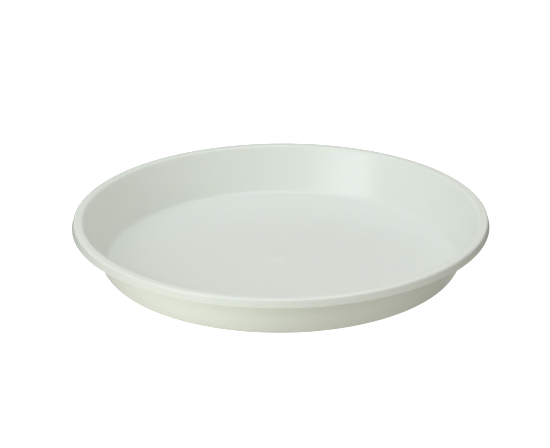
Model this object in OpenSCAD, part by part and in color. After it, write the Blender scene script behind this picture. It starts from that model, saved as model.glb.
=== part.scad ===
// Plant saucer: a round, one-piece moulded dish that stands under a flower pot and
// catches the water that drains from it. The side slopes outwards, the rim is turned
// down and hollow beneath, and the underside stands on a shallow foot ring.
// All sizes are millimetres. The origin is the centre of the underside, on the table.

/* [Overall] */
// Outer diameter, measured over the turned-down rim
rim_d = 240; // [180:1:300]
// Height from the table to the top of the rim
height = 29; // [20:1:50]

/* [Side wall] */
// Thickness of the sloping side wall
wall_t = 1.8; // [1.2:0.1:2.4]
// Slope of the side wall, in degrees from upright
wall_slope = 26; // [12:1:40]
// Radius outside, where the side wall turns into the foot
foot_round = 8; // [4:0.5:12]
// Radius inside, where the side wall turns into the floor
bed_round = 3; // [2:0.5:8]

/* [Rim] */
// Width of the rim, from the mouth of the dish to the outside
rim_w = 6.3; // [4:0.1:8]
// Height of the rim, from its lip to its top
rim_h = 5; // [4:0.1:7]
// Thickness of the rim
rim_t = 1.5; // [1:0.1:2]
// Slope of the rim's outer face, in degrees from upright
skirt_slope = 15; // [0:1:30]
// Radius of the edge, where the side wall meets the top of the rim
mouth_round = 2; // [0.4:0.1:3]
// Radius of the shoulder, where the top of the rim turns down
shoulder_round = 1.6; // [0.8:0.1:3]

/* [Floor and foot] */
// Thickness of the floor
floor_t = 1.8; // [1.2:0.1:2.6]
// Height of the foot ring below the underside of the floor
foot_h = 0.5; // [0.3:0.1:1.5]
// Width of the flat face of the foot ring
foot_w = 4; // [2:0.5:8]

/* [Gate dome] */
// Diameter of the low dome in the middle of the floor
dome_d = 25; // [12:1:40]
// Rise of the dome above the floor
dome_h = 0.6; // [0.3:0.1:1.5]
// Diameter of the gate stub where it leaves the underside of the dome
gate_d = 4; // [2:0.2:6]
// Diameter of the gate stub where it was trimmed
gate_tip_d = 2.6; // [1:0.1:5]

/* [Hidden] */
// Length of the gate stub, as a share of the depth of the recess that it stands in
gate_share = 0.55;
// Straight pieces that each rounded stretch of the section is drawn with
arc_steps = 12;
// Flat stretches that the round of the dish is drawn with
turn_steps = 240;

rim_r = rim_d / 2;
mouth_r = rim_r - rim_w;
bed_z = foot_h + floor_t;

// The side wall's two faces, at any height. The inner one meets the mouth at the top.
function inner_r(z) = mouth_r - (height - z) * tan(wall_slope);
function outer_r(z) = inner_r(z) + wall_t / cos(wall_slope);

// Foot ring: a flat face on the table, with a short ramp up to the floor's underside
foot_r = outer_r(foot_round) - foot_round / cos(wall_slope);
foot_in_r = foot_r - foot_w;
ramp_r = foot_in_r - foot_h;

// Rim: a flat top between two rounded edges, an outer face that widens downwards so that
// the part leaves its mould, and a lip with a full round
SKIRT_OUT = [cos(skirt_slope), sin(skirt_slope)];
mouth_run = mouth_round / cos(wall_slope) - mouth_round * tan(wall_slope);
mouth_centre = [mouth_r + mouth_run, height - mouth_round];
lip_round = rim_t / 2;
lip_centre = [rim_r - lip_round, height - rim_h + lip_round];

// Radius at height z of the line beside the outer face that passes this far from the lip's
// centre, counted outwards
function skirt_r(z, out) =
    lip_centre.x + (out - (z - lip_centre.y) * SKIRT_OUT.y) / SKIRT_OUT.x;

shoulder_z = height - shoulder_round;
shoulder_centre = [skirt_r(shoulder_z, lip_round - shoulder_round), shoulder_z];

// Hollow under the rim: a round vault that touches the side wall, the inside of the outer
// face and the underside of the rim's top
vault_top = height - rim_t;
closing = tan(wall_slope) + tan(skirt_slope);
vault_reach = (1 / cos(wall_slope) + 1 / cos(skirt_slope)) / closing;
gap_w = skirt_r(vault_top, -lip_round) - outer_r(vault_top);
vault_round = gap_w / closing / (vault_reach - 1);
vault_centre = [
    outer_r(vault_top - vault_round) + vault_round / cos(wall_slope),
    vault_top - vault_round
];

// Gate dome: a slice of a large ball, raised above the floor and hollowed out below it
dome_r = dome_d / 2;
dome_ball = (dome_r * dome_r + dome_h * dome_h) / (2 * dome_h);
dome_angle = asin(dome_r / dome_ball);
gate_angle = asin(gate_d / 2 / dome_ball);
recess_z = foot_h + dome_h;
gate_tip_z = recess_z * (1 - gate_share);

// Points along an arc. Angles are in degrees, from straight out, upwards.
function arc(centre, r, from, to) = [
    for (i = [0:arc_steps])
        let (a = from + (to - from) * i / arc_steps)
        centre + r * [cos(a), sin(a)]
];

// The ball's centre, for a dome that starts at height z
function ball_centre(z) = [0, z + dome_h - dome_ball];

// Half of the cross-section, from the middle of the underside round to the middle of the floor
gate_stub = [[0, gate_tip_z], [gate_tip_d / 2, gate_tip_z]];
recess = arc(ball_centre(foot_h), dome_ball, 90 - gate_angle, 90 - dome_angle);
foot_ramp = [[ramp_r, foot_h], [foot_in_r, 0]];
foot_bend = arc([foot_r, foot_round], foot_round, -90, -wall_slope);
vault = arc(vault_centre, vault_round, 180 - wall_slope, skirt_slope);
lip = arc(lip_centre, lip_round, skirt_slope - 180, skirt_slope);
shoulder = arc(shoulder_centre, shoulder_round, skirt_slope, 90);
mouth = arc(mouth_centre, mouth_round, 90, 180 - wall_slope);
bed_x = inner_r(bed_z + bed_round) - bed_round / cos(wall_slope);
bed_bend = arc([bed_x, bed_z + bed_round], bed_round, -wall_slope, -90);
dome = arc(ball_centre(bed_z), dome_ball, 90 - dome_angle, 90);

section = concat(
    gate_stub, recess, foot_ramp, foot_bend,
    vault, lip, shoulder, mouth,
    bed_bend, dome
);

module saucer() {
    color([0.86, 0.88, 0.85]) rotate_extrude($fn = turn_steps) polygon(section);
}

saucer();
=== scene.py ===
"""The look of the plant saucer: a one-piece dish of pale moulded plastic on a white table.

The dish is turned from one section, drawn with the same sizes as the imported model. Its mesh
is fine enough for a smooth gloss, and its sharp corners are eased as a mould leaves them.
All lengths are metres, but for the camera's sensor and lens.
"""

import math

import bpy
import numpy as np
from mathutils import Matrix, Vector


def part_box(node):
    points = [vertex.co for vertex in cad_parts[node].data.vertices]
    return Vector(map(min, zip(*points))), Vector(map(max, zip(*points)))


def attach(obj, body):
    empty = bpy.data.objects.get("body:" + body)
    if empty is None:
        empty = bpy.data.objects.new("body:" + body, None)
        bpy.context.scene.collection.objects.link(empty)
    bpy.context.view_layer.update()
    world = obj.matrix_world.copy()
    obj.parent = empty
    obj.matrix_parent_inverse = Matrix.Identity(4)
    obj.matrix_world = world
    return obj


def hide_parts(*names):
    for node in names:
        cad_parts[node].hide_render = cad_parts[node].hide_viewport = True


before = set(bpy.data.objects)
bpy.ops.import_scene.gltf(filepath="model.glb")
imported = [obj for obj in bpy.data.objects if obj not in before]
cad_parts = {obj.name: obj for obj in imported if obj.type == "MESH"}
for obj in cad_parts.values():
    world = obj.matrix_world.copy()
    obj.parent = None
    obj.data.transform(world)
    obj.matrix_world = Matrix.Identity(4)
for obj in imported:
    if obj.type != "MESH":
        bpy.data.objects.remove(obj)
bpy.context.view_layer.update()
NODE_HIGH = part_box("saucer")[1]

MM = 0.001

# Overall size, from the imported model
HEIGHT = NODE_HIGH.z
RIM_R = NODE_HIGH.x

# Side wall
WALL_T = 1.8 * MM
WALL_SLOPE = math.radians(26)
FOOT_ROUND = 8 * MM
BED_ROUND = 3 * MM

# Rim
RIM_W = 6.3 * MM
RIM_H = 5 * MM
RIM_T = 1.5 * MM
SKIRT_SLOPE = math.radians(15)
MOUTH_ROUND = 2 * MM
SHOULDER_ROUND = 1.6 * MM

# Floor and foot
FLOOR_T = 1.8 * MM
FOOT_H = 0.5 * MM
FOOT_W = 4 * MM
FOOT_EASE = 0.3 * MM

# Gate dome
DOME_R = 12.5 * MM
DOME_H = 0.6 * MM
GATE_R = 2 * MM
GATE_TIP_R = 1.3 * MM
GATE_SHARE = 0.55
GATE_EASE = 0.15 * MM

# Fineness of the mesh
TURN_STEPS = 384
ARC_STEP = math.radians(6)
FEWEST_STEPS = 2
LONGEST_STEP = 2.5 * MM
DOME_STEPS = 16

# Camera, found by fitting the section's outline to the photograph. Its sensor and its lens
# are millimetres.
VIEW_ELEVATION = math.radians(22.464)
VIEW_DISTANCE = 1.14
VIEW_TURN = math.radians(0.378)
AIM = Vector((-0.00321, 0, 0.02251))
SENSOR_W = 36
LENS = 129.27

# Plastic. Waves are counted per metre along X, Y and Z. A span is the part of a noise that
# is used, and anything outside it is held at its ends. The sheen is the roughness at the two
# ends of the clouds. Above about 0.27, the denoiser takes gloss for matt, and a dish on both
# sides of that limit shows sharp-edged patches.
PLASTIC = (0.70, 0.745, 0.69)
REFRACTION = 1.49
NOISE_FALL = 0.5
CLOUDING = 0.004
CLOUD_WAVES = (16, 16, 30)
CLOUD_DETAIL = 1
CLOUD_SPAN = (0.2, 0.8)
SHEEN = (0.25, 0.27)
LINE_TONE = 0.02
LINE_WAVES = (7, 7, 480)
LINE_DETAIL = 3
LINE_SPAN = (0.3, 0.7)
SKIN_DEPTH = 0.008 * MM
SKIN_WAVES = (900, 900, 900)
SKIN_DETAIL = 2
SEEN_THROUGH = 0.2
THROUGH_COLOURS = (1, 0.8, 0.5)
THROUGH_REACH = 3 * MM

# How far a face looks down where its turning lines begin, and where they are in full
DOWNWARD_SPAN = (-0.1, -0.4)

# Surround and table. The camera sees the table as white, and the dish sees pools of light.
SURROUND = (0.50, 0.455, 0.42, 1)
WHITE = (1, 1, 1, 1)
TABLE_COLOUR = (0.85, 0.85, 0.85, 1)
TABLE_WHITE = 0.8
TABLE_GAP = 0.02 * MM
TABLE_HALF = 3
POOL_COLOUR = (1.33, 1.32, 1.20, 1)
POOLS = [
    {"centre": (-0.07, -0.13, 0), "spread": (0.085, 0.1, 1), "share": 1},
    {"centre": (0.094, -0.115, 0), "spread": (0.047, 0.047, 1), "share": 0.42},
    {"centre": (0.118, -0.01, 0), "spread": (0.028, 0.028, 1), "share": 0.6},
    {"centre": (0.01, 0.14, 0), "spread": (0.11, 0.06, 1), "share": 0.5},
]
POOL_SHADE = 0.38
SHADE_REACH = (0.09, 0.15)

# Lamps. The place is azimuth, elevation and distance, the size is width and height, and the
# power is in watts. Angles are in degrees, and azimuth is counted from +X towards +Y.
NEUTRAL = (1, 1, 1)
DAYLIGHT = (0.92, 1, 1.11)
SKYLIGHT = (0.87, 1, 1.12)
LAMPS = [
    {"name": "key", "place": (225, 27, 1.6), "size": (0.95, 0.9), "power": 5.4, "colour": DAYLIGHT},
    {"name": "key_edge", "place": (217, 27, 1.6), "size": (0.5, 0.6), "power": 1.15, "colour": NEUTRAL},
    {"name": "fill", "place": (239, 28, 1.6), "size": (1.9, 1.1), "power": 3.2, "colour": NEUTRAL},
    {"name": "overhead", "place": (0, 90, 1.4), "size": (1.6, 1.6), "power": 7.8, "colour": SKYLIGHT},
    {"name": "side_top", "place": (300, 60, 1.5), "size": (1, 1), "power": 2.5, "colour": NEUTRAL},
    {"name": "left", "place": (180, 15, 1.6), "size": (1.6, 0.8), "power": 0.9, "colour": NEUTRAL},
]


def arc(centre, radius, start, end):
    """Points along an arc. Angles are in radians, from straight out, upwards."""
    steps = max(FEWEST_STEPS, math.ceil(abs(end - start) / ARC_STEP))
    angles = np.linspace(start, end, steps + 1)
    return [centre + radius * np.array((math.cos(a), math.sin(a))) for a in angles]


def eased(before, corner, after, radius):
    """An arc in place of a corner between two nearly straight stretches."""
    into = (corner - before) / np.linalg.norm(corner - before)
    out = (after - corner) / np.linalg.norm(after - corner)
    turn = math.atan2(into[0] * out[1] - into[1] * out[0], float(into @ out))
    reach = radius * math.tan(abs(turn) / 2)
    side = math.copysign(1, turn)
    square = side * np.array((-into[1], into[0]))
    centre = corner - reach * into + radius * square
    first = math.atan2(-square[1], -square[0])
    return arc(centre, radius, first, first + turn)


def inner_r(z):
    """Radius of the side wall's inner face at height z."""
    return RIM_R - RIM_W - (HEIGHT - z) * math.tan(WALL_SLOPE)


def outer_r(z):
    """Radius of the side wall's outer face at height z."""
    return inner_r(z) + WALL_T / math.cos(WALL_SLOPE)


def dome_arc(base_z):
    """Points over a gate dome that starts at height base_z, from its edge to its middle.
    It rises as softly from the floor as it flattens towards the middle."""
    radii = np.linspace(DOME_R, 0, DOME_STEPS + 1)
    rises = DOME_H * (1 - (radii / DOME_R)**2)**2
    return [np.array((r, base_z + rise)) for r, rise in zip(radii, rises)]


def underside():
    """The section from the middle of the underside to the start of the foot's bend."""
    recess = dome_arc(FOOT_H)
    roof_z = FOOT_H + DOME_H
    tip_z = roof_z * (1 - GATE_SHARE)
    stub = [np.array(p) for p in ((0, tip_z), (GATE_TIP_R, tip_z), (GATE_R, roof_z))]
    foot_r = outer_r(FOOT_ROUND) - FOOT_ROUND / math.cos(WALL_SLOPE)
    ring_in = foot_r - FOOT_W
    ramp_top = np.array((ring_in - FOOT_H, FOOT_H))
    ramp_foot = np.array((ring_in, 0))
    roof = [p for p in reversed(recess) if p[0] > GATE_R + GATE_EASE]
    points = [stub[0]]
    points += eased(stub[0], stub[1], stub[2], GATE_EASE)
    points += eased(stub[1], stub[2], roof[0], GATE_EASE)
    points += roof
    points += eased(roof[-1], ramp_top, ramp_foot, FOOT_EASE)
    points += eased(ramp_top, ramp_foot, np.array((foot_r, 0)), FOOT_EASE)
    points += arc(np.array((foot_r, FOOT_ROUND)), FOOT_ROUND, -math.pi / 2, -WALL_SLOPE)
    return points


def rim():
    """The section round the turned-down rim, from the vault below it to the mouth."""
    lip_round = RIM_T / 2
    lip_centre = np.array((RIM_R - lip_round, HEIGHT - RIM_H + lip_round))
    skirt_out = np.array((math.cos(SKIRT_SLOPE), math.sin(SKIRT_SLOPE)))

    def skirt_r(z, out):
        """Radius at height z of the line beside the outer face, this far out from the lip."""
        return lip_centre[0] + (out - (z - lip_centre[1]) * skirt_out[1]) / skirt_out[0]

    shoulder_z = HEIGHT - SHOULDER_ROUND
    shoulder_centre = np.array((skirt_r(shoulder_z, lip_round - SHOULDER_ROUND), shoulder_z))
    mouth_run = MOUTH_ROUND / math.cos(WALL_SLOPE) - MOUTH_ROUND * math.tan(WALL_SLOPE)
    mouth_centre = np.array((RIM_R - RIM_W + mouth_run, HEIGHT - MOUTH_ROUND))
    vault_top = HEIGHT - RIM_T
    closing = math.tan(WALL_SLOPE) + math.tan(SKIRT_SLOPE)
    vault_reach = (1 / math.cos(WALL_SLOPE) + 1 / math.cos(SKIRT_SLOPE)) / closing
    gap_w = skirt_r(vault_top, -lip_round) - outer_r(vault_top)
    vault_round = gap_w / closing / (vault_reach - 1)
    vault_z = vault_top - vault_round
    vault_centre = np.array((outer_r(vault_z) + vault_round / math.cos(WALL_SLOPE), vault_z))
    wall_angle = math.pi - WALL_SLOPE
    points = arc(vault_centre, vault_round, wall_angle, SKIRT_SLOPE)
    points += arc(lip_centre, lip_round, SKIRT_SLOPE - math.pi, SKIRT_SLOPE)
    points += arc(shoulder_centre, SHOULDER_ROUND, SKIRT_SLOPE, math.pi / 2)
    points += arc(mouth_centre, MOUTH_ROUND, math.pi / 2, wall_angle)
    return points


def inside():
    """The section from the bed's bend over the floor to the middle of the dome."""
    bed_z = FOOT_H + FLOOR_T
    bend_x = inner_r(bed_z + BED_ROUND) - BED_ROUND / math.cos(WALL_SLOPE)
    points = arc(np.array((bend_x, bed_z + BED_ROUND)), BED_ROUND, -WALL_SLOPE, -math.pi / 2)
    return points + dome_arc(bed_z)


def section():
    """The whole section, with its long stretches cut into short steps."""
    corners = underside() + rim() + inside()
    points = [corners[0]]
    for start, end in zip(corners, corners[1:]):
        steps = max(1, math.ceil(np.linalg.norm(end - start) / LONGEST_STEP))
        points += [start + (end - start) * i / steps for i in range(1, steps + 1)]
    return np.array(points)


def turned(name, outline):
    """A closed mesh turned from an outline whose first and last points lie on the axis."""
    angles = np.linspace(0, 2 * math.pi, TURN_STEPS, endpoint=False)
    ring = np.stack([np.cos(angles), np.sin(angles)], axis=1)
    between = outline[1:-1]
    levels = len(between)
    flat = between[:, None, :1] * ring[None, :, :]
    heights = np.broadcast_to(between[:, None, 1:], (levels, TURN_STEPS, 1))
    vertices = np.concatenate([flat, heights], axis=2).reshape(-1, 3)
    low, high = len(vertices), len(vertices) + 1
    ends = [(0, 0, outline[0][1]), (0, 0, outline[-1][1])]
    vertices = np.concatenate([vertices, np.array(ends)])
    faces = []
    for step in range(TURN_STEPS):
        ahead = (step + 1) % TURN_STEPS
        faces.append((low, ahead, step))
        last = (levels - 1) * TURN_STEPS
        faces.append((high, last + step, last + ahead))
        for level in range(levels - 1):
            here, above = level * TURN_STEPS, (level + 1) * TURN_STEPS
            faces.append((here + step, here + ahead, above + ahead, above + step))
    mesh = bpy.data.meshes.new(name)
    mesh.from_pydata(vertices.tolist(), [], faces)
    mesh.validate()
    mesh.shade_smooth()
    piece = bpy.data.objects.new(name, mesh)
    bpy.context.scene.collection.objects.link(piece)
    return piece


def node(tree, kind, **inputs):
    """A new shader node with some of its inputs set."""
    made = tree.nodes.new(kind)
    for key, value in inputs.items():
        made.inputs[key.replace("_", " ")].default_value = value
    return made


def new_material(name):
    """An empty material, with its node tree and its output node."""
    material = bpy.data.materials.new(name)
    material.use_nodes = True
    tree = material.node_tree
    tree.nodes.clear()
    output = tree.nodes.new("ShaderNodeOutputMaterial")
    return material, tree, output


def noise(tree, place, stretch, detail):
    """Smooth noise over the dish, with so many waves per metre along X, Y and Z."""
    scaled = tree.nodes.new("ShaderNodeVectorMath")
    scaled.operation = "MULTIPLY"
    scaled.inputs[1].default_value = stretch
    made = node(tree, "ShaderNodeTexNoise", Scale=1, Detail=detail, Roughness=NOISE_FALL)
    tree.links.new(place, scaled.inputs[0])
    tree.links.new(scaled.outputs["Vector"], made.inputs["Vector"])
    return made.outputs["Fac"]


def remap(tree, value, low, high, to_low, to_high):
    """A value carried from one range to another, and held inside it."""
    made = node(tree, "ShaderNodeMapRange", From_Min=low, From_Max=high)
    made.inputs["To Min"].default_value = to_low
    made.inputs["To Max"].default_value = to_high
    tree.links.new(value, made.inputs["Value"])
    return made.outputs["Result"]


def combine(tree, operation, first, second):
    """Two values, added or multiplied."""
    made = tree.nodes.new("ShaderNodeMath")
    made.operation = operation
    tree.links.new(first, made.inputs[0])
    tree.links.new(second, made.inputs[1])
    return made.outputs[0]


def scale(tree, value, factor):
    """A value times a fixed factor."""
    made = tree.nodes.new("ShaderNodeMath")
    made.operation = "MULTIPLY"
    made.inputs[1].default_value = factor
    tree.links.new(value, made.inputs[0])
    return made.outputs[0]


def moulded_plastic():
    """Satin polypropylene. It lets a little light through, is faintly clouded, has fine turning
    lines where the mould was turned, on the faces that look down, and a fine uneven skin."""
    material, tree, output = new_material("moulded_plastic")
    link = tree.links.new
    place = tree.nodes.new("ShaderNodeTexCoord").outputs["Object"]
    clouds = noise(tree, place, CLOUD_WAVES, CLOUD_DETAIL)
    lines = noise(tree, place, LINE_WAVES, LINE_DETAIL)
    skin = noise(tree, place, SKIN_WAVES, SKIN_DETAIL)

    facing = tree.nodes.new("ShaderNodeSeparateXYZ")
    link(tree.nodes.new("ShaderNodeNewGeometry").outputs["Normal"], facing.inputs["Vector"])
    turned_face = remap(tree, facing.outputs["Z"], *DOWNWARD_SPAN, 0, 1)
    line_tone = combine(tree, "MULTIPLY", remap(tree, lines, *LINE_SPAN, -1, 1), turned_face)
    tone = combine(
        tree, "ADD",
        remap(tree, clouds, *CLOUD_SPAN, 1 - CLOUDING, 1 + CLOUDING),
        remap(tree, line_tone, -1, 1, -LINE_TONE, LINE_TONE),
    )
    colour = tree.nodes.new("ShaderNodeVectorMath")
    colour.operation = "SCALE"
    colour.inputs[0].default_value = PLASTIC
    link(tone, colour.inputs["Scale"])

    bump = node(tree, "ShaderNodeBump", Strength=1, Distance=SKIN_DEPTH)
    link(skin, bump.inputs["Height"])
    shader = node(tree, "ShaderNodeBsdfPrincipled", IOR=REFRACTION)
    shader.inputs["Subsurface Weight"].default_value = SEEN_THROUGH
    shader.inputs["Subsurface Radius"].default_value = THROUGH_COLOURS
    shader.inputs["Subsurface Scale"].default_value = THROUGH_REACH
    link(colour.outputs["Vector"], shader.inputs["Base Color"])
    link(remap(tree, clouds, *CLOUD_SPAN, *SHEEN), shader.inputs["Roughness"])
    link(bump.outputs["Normal"], shader.inputs["Normal"])
    link(shader.outputs["BSDF"], output.inputs["Surface"])
    return material


def build_saucer():
    """The dish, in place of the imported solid."""
    piece = turned("saucer_body", section())
    piece.data.materials.append(moulded_plastic())
    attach(piece, "root")
    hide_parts("saucer")
    return piece


def pool(tree, place, centre, spread, share):
    """A soft round-edged pool: its share of light at a place, from its middle outwards."""
    link = tree.links.new
    offset = tree.nodes.new("ShaderNodeVectorMath")
    offset.operation = "SUBTRACT"
    offset.inputs[1].default_value = centre
    scaled = tree.nodes.new("ShaderNodeVectorMath")
    scaled.operation = "DIVIDE"
    scaled.inputs[1].default_value = spread
    square = tree.nodes.new("ShaderNodeVectorMath")
    square.operation = "DOT_PRODUCT"
    link(place, offset.inputs[0])
    link(offset.outputs["Vector"], scaled.inputs[0])
    link(scaled.outputs["Vector"], square.inputs[0])
    link(scaled.outputs["Vector"], square.inputs[1])
    halved = scale(tree, square.outputs["Value"], -0.5)
    fall = tree.nodes.new("ShaderNodeMath")
    fall.operation = "EXPONENT"
    link(halved, fall.inputs[0])
    return scale(tree, fall.outputs[0], share)


def table_glow(tree):
    """The table's glow at a place: the pools together, shaded by the dish's foot."""
    place = tree.nodes.new("ShaderNodeNewGeometry").outputs["Position"]
    glow = pool(tree, place, **POOLS[0])
    for other in POOLS[1:]:
        glow = combine(tree, "ADD", glow, pool(tree, place, **other))
    reach = tree.nodes.new("ShaderNodeVectorMath")
    reach.operation = "LENGTH"
    tree.links.new(place, reach.inputs[0])
    shade = remap(tree, reach.outputs["Value"], *SHADE_REACH, 1 - POOL_SHADE, 1)
    return combine(tree, "MULTIPLY", glow, shade)


def build_floor():
    """The white table. The camera sees it white, with the dish's shadow, and it throws a
    soft light up at the dish's outer side."""
    material, tree, output = new_material("white_table")
    link = tree.links.new
    lit = node(tree, "ShaderNodeBsdfDiffuse", Color=TABLE_COLOUR)
    white = node(tree, "ShaderNodeEmission", Color=WHITE, Strength=TABLE_WHITE)
    seen = tree.nodes.new("ShaderNodeAddShader")
    glow = node(tree, "ShaderNodeEmission", Color=POOL_COLOUR)
    link(table_glow(tree), glow.inputs["Strength"])
    path = tree.nodes.new("ShaderNodeLightPath")
    mix = tree.nodes.new("ShaderNodeMixShader")
    link(lit.outputs["BSDF"], seen.inputs[0])
    link(white.outputs["Emission"], seen.inputs[1])
    link(path.outputs["Is Camera Ray"], mix.inputs["Fac"])
    link(glow.outputs["Emission"], mix.inputs[1])
    link(seen.outputs["Shader"], mix.inputs[2])
    link(mix.outputs["Shader"], output.inputs["Surface"])
    mesh = bpy.data.meshes.new("table_top")
    sides = [(-1, -1), (1, -1), (1, 1), (-1, 1)]
    corners = [(x * TABLE_HALF, y * TABLE_HALF, -TABLE_GAP) for x, y in sides]
    mesh.from_pydata(corners, [], [(0, 1, 2, 3)])
    floor = bpy.data.objects.new("table_top", mesh)
    bpy.context.scene.collection.objects.link(floor)
    mesh.materials.append(material)
    return floor


def build_world():
    """A plain pale surround, seen by the camera as white."""
    world = bpy.data.worlds.new("surround")
    bpy.context.scene.world = world
    world.use_nodes = True
    tree = world.node_tree
    tree.nodes.clear()
    link = tree.links.new
    plain = node(tree, "ShaderNodeBackground", Color=SURROUND, Strength=1)
    white = node(tree, "ShaderNodeBackground", Color=WHITE, Strength=1)
    path = tree.nodes.new("ShaderNodeLightPath")
    mix = tree.nodes.new("ShaderNodeMixShader")
    output = tree.nodes.new("ShaderNodeOutputWorld")
    link(path.outputs["Is Camera Ray"], mix.inputs["Fac"])
    link(plain.outputs["Background"], mix.inputs[1])
    link(white.outputs["Background"], mix.inputs[2])
    link(mix.outputs["Shader"], output.inputs["Surface"])


def build_lamp(name, place, size, power, colour):
    """A soft rectangular lamp that faces the dish."""
    azimuth, elevation, distance = place
    width, height = size
    data = bpy.data.lights.new(name, "AREA")
    data.shape = "RECTANGLE"
    data.size = width
    data.size_y = height
    data.energy = power
    data.color = colour
    lamp = bpy.data.objects.new(name, data)
    bpy.context.scene.collection.objects.link(lamp)
    across = math.cos(math.radians(elevation))
    towards = Vector((
        math.cos(math.radians(azimuth)) * across,
        math.sin(math.radians(azimuth)) * across,
        math.sin(math.radians(elevation)),
    ))
    lamp.location = towards * distance
    lamp.rotation_mode = "QUATERNION"
    lamp.rotation_quaternion = towards.to_track_quat("Z", "Y")
    return lamp


def build_camera():
    """The photograph's camera: a long lens, looking down at the dish from the front."""
    data = bpy.data.cameras.new("camera")
    data.sensor_width = SENSOR_W
    data.lens = LENS
    camera = bpy.data.objects.new("camera", data)
    bpy.context.scene.collection.objects.link(camera)
    back = Vector((0, -math.cos(VIEW_ELEVATION), math.sin(VIEW_ELEVATION)))
    level = (-back).to_track_quat("-Z", "Y").to_matrix().to_4x4()
    camera.matrix_world = (
        Matrix.Translation(AIM + back * VIEW_DISTANCE) @ level @ Matrix.Rotation(-VIEW_TURN, 4, "Z")
    )
    bpy.context.scene.camera = camera


build_camera()
build_saucer()
build_floor()
build_world()
for lamp in LAMPS:
    build_lamp(**lamp)

bpy.context.scene.view_settings.view_transform = "Standard"
